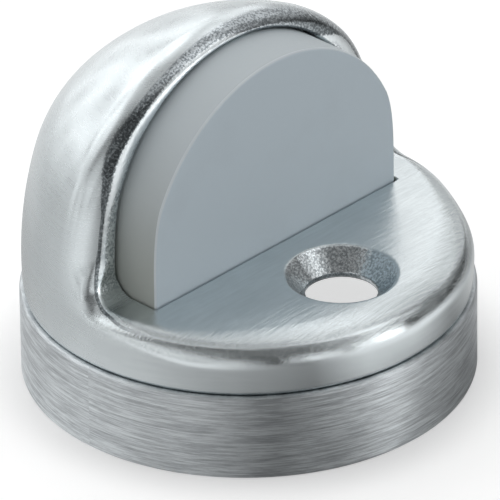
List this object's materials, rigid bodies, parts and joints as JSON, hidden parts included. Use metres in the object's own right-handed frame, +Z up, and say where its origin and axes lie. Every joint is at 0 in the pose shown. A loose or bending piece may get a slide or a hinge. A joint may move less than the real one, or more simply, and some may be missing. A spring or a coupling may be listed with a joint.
{
  "type": "dome door stop",
  "caption": "Floor-mounted dome door stop on a riser ring: cast half-dome with a rubber bumper and a countersunk screw hole in its flange.",
  "frame": {"origin": "centre of the riser ring's underside, on the floor", "axes": "+Z up out of the floor, -Y towards the door that strikes the bumper, X along the bumper's face"},
  "size_m": [0.0476, 0.0476, 0.0391],
  "materials": {
    "cast_satin_chrome": "satin-chrome plated casting, finely brushed, grainy in the lip and countersink",
    "grey_rubber": "smooth moulded rubber, slight sheen",
    "brushed_chrome": "brushed round the ring",
    "pin_steel": "plain steel"
  },
  "bodies": {
    "root": {"dome_body": "cast_satin_chrome", "rubber_bumper": "grey_rubber", "riser_ring": "brushed_chrome", "locating_pin": "pin_steel"}
  },
  "joints": []
}
